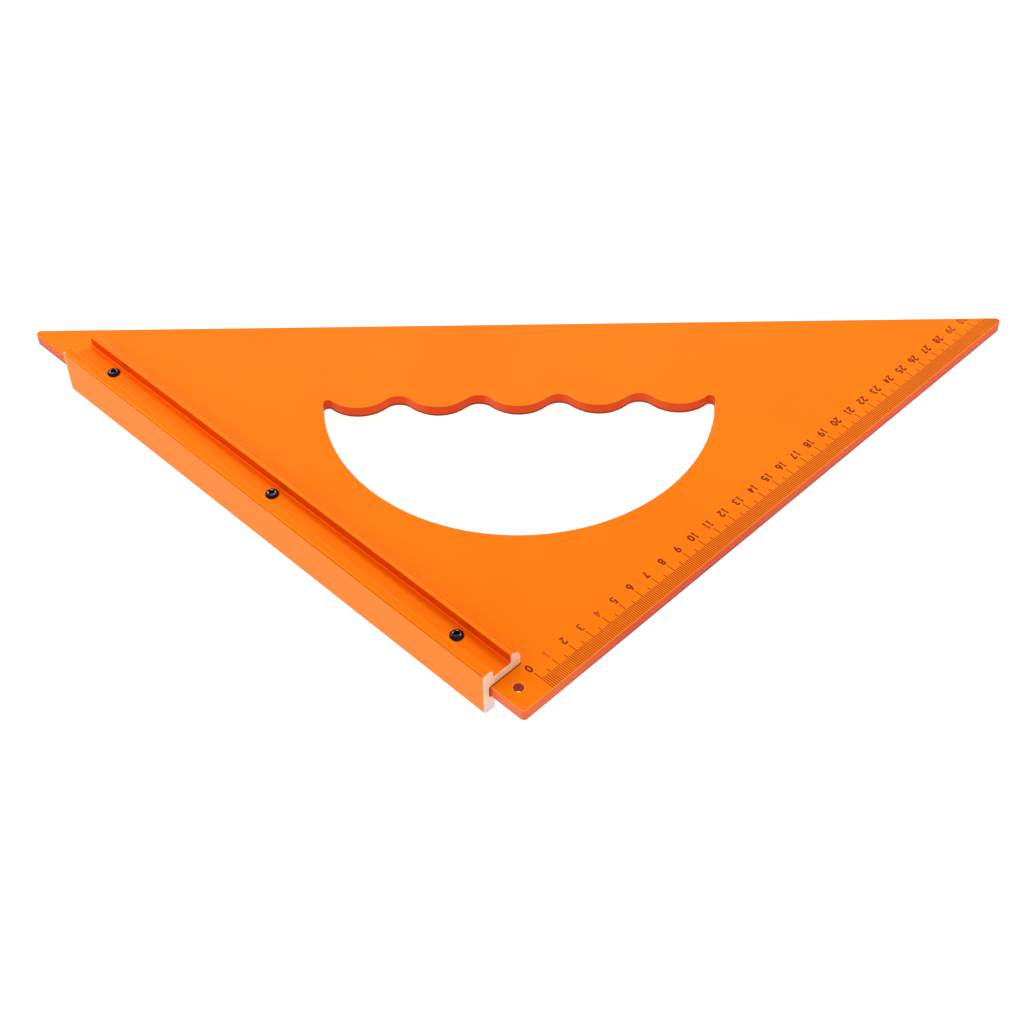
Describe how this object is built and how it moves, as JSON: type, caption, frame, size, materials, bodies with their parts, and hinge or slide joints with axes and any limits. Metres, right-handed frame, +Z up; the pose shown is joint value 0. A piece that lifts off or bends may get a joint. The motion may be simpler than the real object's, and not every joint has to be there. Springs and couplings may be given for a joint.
{
  "type": "speed square",
  "caption": "Flat triangular saw guide square with a scalloped hand hole, a centimetre scale and a channel-shaped metal fence screwed along one leg.",
  "frame": {"origin": "middle of the whole square seen from above, at the height of the fence's foot", "axes": "+Z up, square to the plate; +X along the scale leg, from the right-angle corner to its tip; +Y along the fence leg"},
  "size_m": [0.334, 0.3302, 0.0236],
  "materials": {
    "plate": "smooth orange plastic, satin gloss, deeper red-orange on the cut edges",
    "fence": "orange anodised extrusion, sawn ends bare",
    "screws": "black oxide",
    "inserts": "turned brass"
  },
  "bodies": {
    "root": {"plate": "plate", "fence": "fence", "fence_screw_near": "screws", "fence_screw_middle": "screws", "fence_screw_far": "screws", "threaded_insert_near": "inserts", "threaded_insert_middle": "inserts", "threaded_insert_far": "inserts"}
  },
  "joints": []
}
